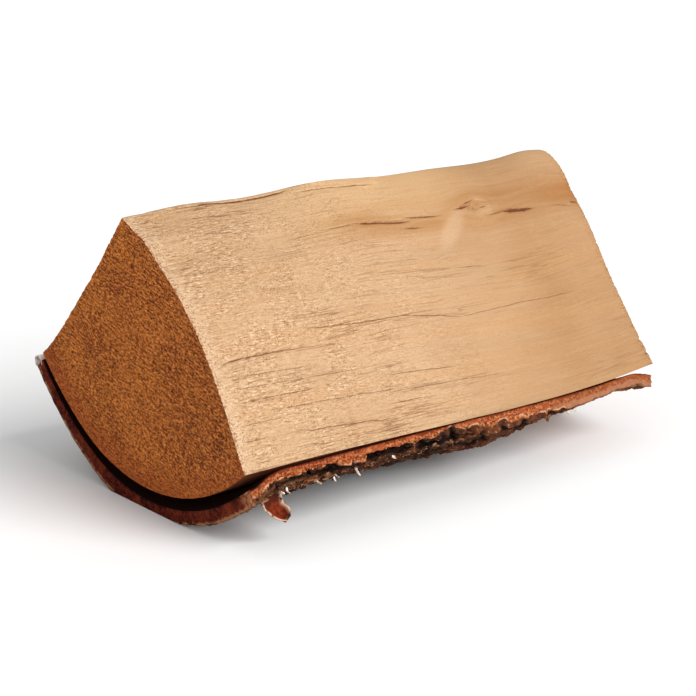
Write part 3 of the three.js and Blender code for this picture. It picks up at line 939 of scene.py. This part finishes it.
# Painted shadow: the top of the flap, under the lip of the bark, is made dark.
shadow_reach = plus(tree, mark(tree, "down"), level(tree, fine, 0.3, 0.7, -0.08, 0.08))
pale_rim = times(tree, mark(tree, "rim"), level(tree, fine, 0.34, 0.48))
crust_colour, _ = crust_of(tree, spot)
colour = layered(
    tree,
    blend(tree, level(tree, fine, 0.35, 0.65), FLAP_DEEP, FLAP_RED),
    (level(tree, shadow_reach, 0.58, 0.36, 0.0, 0.9), FLAP_PAINTED_SHADOW),
    (times(tree, pale_rim, 0.85), RIM_PALE),
    (level(tree, mark(tree, "outer"), 0.7, 0.95), crust_colour),
)
dress(tree, shader, colour, 0.7, fine, strength=0.5, distance=0.0004)
flap.materials.append(flap_look)
torn_flap = show("torn_flap", flap)
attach(torn_flap, "root")
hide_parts("bark")


# THE PAPER CURLS. Thin white outer skin of the birch, peeled up in small rolls: one at the rear corner of the
# left end, and narrow ones that hang from the crust under the front edge.

# Each is (x, share of the way round, width, length, turns it rolls through, lean in degrees).
CURLS = [
    (-0.1225, 0.008, 0.0050, 0.0135, 0.60, 0),
    (-0.1055, 0.972, 0.0020, 0.0048, 0.35, 52),
    (-0.0760, 0.965, 0.0009, 0.0038, 0.20, 14),
    (-0.0735, 0.950, 0.0007, 0.0026, 0.30, -34),
    (-0.0645, 0.970, 0.0010, 0.0044, 0.18, -16),
    (-0.0615, 0.955, 0.0007, 0.0028, 0.30, 40),
    (-0.0855, 0.960, 0.0010, 0.0038, 0.30, -25),
    (-0.1020, 0.965, 0.0012, 0.0040, 0.30, 18),
    (-0.0440, 0.985, 0.0022, 0.0018, 0.30, 20),
    (0.0655, 0.985, 0.0018, 0.0036, 0.30, 10),
    (0.0700, 0.980, 0.0012, 0.0030, 0.25, -25),
]
CURL_THICKNESS = 0.0003
bm = bmesh.new()
for x_at, v_at, curl_width, curl_length, rolls, lean in CURLS:
    curl = stepped_cube(3, 1, 12)
    root_deep = 1.05 if v_at > 0.5 else 0.45
    root, _ = in_bark(np.array([x_at]), np.array([v_at]), np.array([root_deep]))
    full_turn = rolls * 2 * math.pi
    bend_radius = curl_length / full_turn
    for vert in curl.verts:
        down = 0.5 - vert.co.z
        out = bend_radius + vert.co.y * CURL_THICKNESS
        across_curl = vert.co.x * curl_width * (1 - 0.4 * down**2)
        turned = full_turn * down
        vert.co = (across_curl, -bend_radius + out * math.cos(turned), -out * math.sin(turned))
    stands = Matrix.Rotation(math.pi, 4, "X") if v_at < 0.5 else Matrix.Identity(4)
    stands = Matrix.Translation((x_at, *root[0])) @ Matrix.Rotation(math.radians(lean), 4, "Y") @ stands
    bmesh.ops.transform(curl, verts=curl.verts, matrix=stands)
    one = mesh_from(curl, "one_curl")
    bm.from_mesh(one)
    bpy.data.meshes.remove(one)
curls = mesh_from(bm, "paper_curls")

PAPER_WHITE, PAPER_BROWN = shade(244, 236, 228), shade(196, 160, 134)

paper_look, tree, shader = new_material("birch_paper")
spot = add(tree, "TexCoord").outputs["Object"]
colour = blend(tree, level(tree, speckle(tree, spot, 420.0, 3.0), 0.42, 0.62), PAPER_WHITE, PAPER_BROWN)
tree.links.new(colour, shader.inputs["Base Color"])
shader.inputs["Roughness"].default_value = 0.6
curls.materials.append(paper_look)
paper = show("paper_curls", curls)
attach(paper, "root")
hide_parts("bark")


# THE FLAKES. Chips of crust and cork that are breaking off along the front edge of the bark. Each is a small
# block with its corners knocked about, pressed into the surface at its own angle.

FLAKES = 420
rng = np.random.default_rng(7)
near_left = rng.uniform(0, 1, FLAKES) < 0.3
flake_x = np.where(near_left, rng.uniform(-0.121, -0.09, FLAKES), rng.uniform(-0.10, 0.062, FLAKES))
spread, by_edge = rng.uniform(0.90, 0.985, FLAKES), 1 - rng.gamma(1.6, 0.022, FLAKES).clip(0.006, 0.16)
flake_v = np.where(flake_x < -0.095, spread, by_edge)
flake_size = 0.0005 + rng.gamma(1.5, 0.00032, FLAKES).clip(0, 0.0014)
flake_at, flake_angle = in_bark(flake_x, flake_v, np.ones(FLAKES), 0.0, rng.uniform(0.0, 0.0011, FLAKES))
bm = bmesh.new()
tint = bm.verts.layers.float.new("plate")
for k in range(FLAKES):
    spin = Matrix.Rotation(rng.uniform(0, 2 * math.pi), 4, "Z")
    tip = Matrix.Rotation(rng.normal(0, 0.45), 4, "X")
    lie = Matrix.Rotation(-math.radians(flake_angle[k]), 4, "X")
    shape = Matrix.Diagonal((flake_size[k] * 1.7, flake_size[k], flake_size[k] * 0.38, 1))
    place = Matrix.Translation((flake_x[k], *flake_at[k])) @ lie @ tip @ spin @ shape
    made = bmesh.ops.create_cube(bm, size=1)["verts"]
    for vert in made:
        vert.co += Vector(rng.uniform(-0.24, 0.24, 3))
        vert[tint] = rng.uniform(0, 1)
    bmesh.ops.transform(bm, verts=made, matrix=place)
flakes = mesh_from(bm, "bark_flakes")

FLAKE_TAN, FLAKE_ORANGE = shade(160, 114, 82), shade(132, 74, 44)

flake_look, tree, shader = new_material("loose_flakes", DULL)
spot = add(tree, "TexCoord").outputs["Object"]
crust_colour, crust_crumbs = crust_of(tree, spot)
colour = layered(
    tree,
    crust_colour,
    (level(tree, speckle(tree, spot, 160.0, 2.0), 0.50, 0.60, 0.0, 0.8), FLAKE_TAN),
    (level(tree, mark(tree, "plate"), 0.72, 0.85), FLAKE_ORANGE),
)
dress(tree, shader, colour, 0.92, crust_crumbs, strength=0.7, distance=0.0005)
flakes.materials.append(flake_look)
chips = show("bark_flakes", flakes)
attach(chips, "root")
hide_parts("bark")


# THE STAGE. A plain white floor under even white light, with one soft lamp far off at the front right. The
# camera stands at the front left, and sees the left sawn end and the front split face.

bm = bmesh.new()
bmesh.ops.create_grid(bm, x_segments=1, y_segments=1, size=8)
floor = show("floor", mesh_from(bm, "floor"))
floor_look, tree, shader = new_material("floor_white")
shader.inputs["Base Color"].default_value = (0.97, 0.97, 0.97, 1)
floor.data.materials.append(floor_look)

world = bpy.data.worlds.new("studio")
bpy.context.scene.world = world
world.use_nodes = True
world.node_tree.nodes["Background"].inputs["Color"].default_value = (1, 1, 1, 1)
world.node_tree.nodes["Background"].inputs["Strength"].default_value = 0.55

LAMP_SHINES = Vector((-0.32, 0.92, -0.62))
sun = show("key", bpy.data.lights.new("key", "SUN"))
sun.data.energy = 3.4
sun.data.angle = math.radians(40)
sun.rotation_mode = "QUATERNION"
sun.rotation_quaternion = LAMP_SHINES.to_track_quat("-Z", "Y")

AIM, AZIMUTH, ELEVATION = Vector((-0.0006, 0.0068, 0.0487)), math.radians(-39.156), math.radians(16.5)
camera = show("camera", bpy.data.cameras.new("camera"))
camera.data.lens = 108.25
camera.data.sensor_width = 36
level_back = math.cos(ELEVATION)
back = Vector((math.sin(AZIMUTH) * level_back, -math.cos(AZIMUTH) * level_back, math.sin(ELEVATION)))
camera.location = AIM + back
camera.rotation_mode = "QUATERNION"
camera.rotation_quaternion = (-back).to_track_quat("-Z", "Y")
bpy.context.scene.camera = camera
bpy.context.scene.view_settings.view_transform = "Standard"
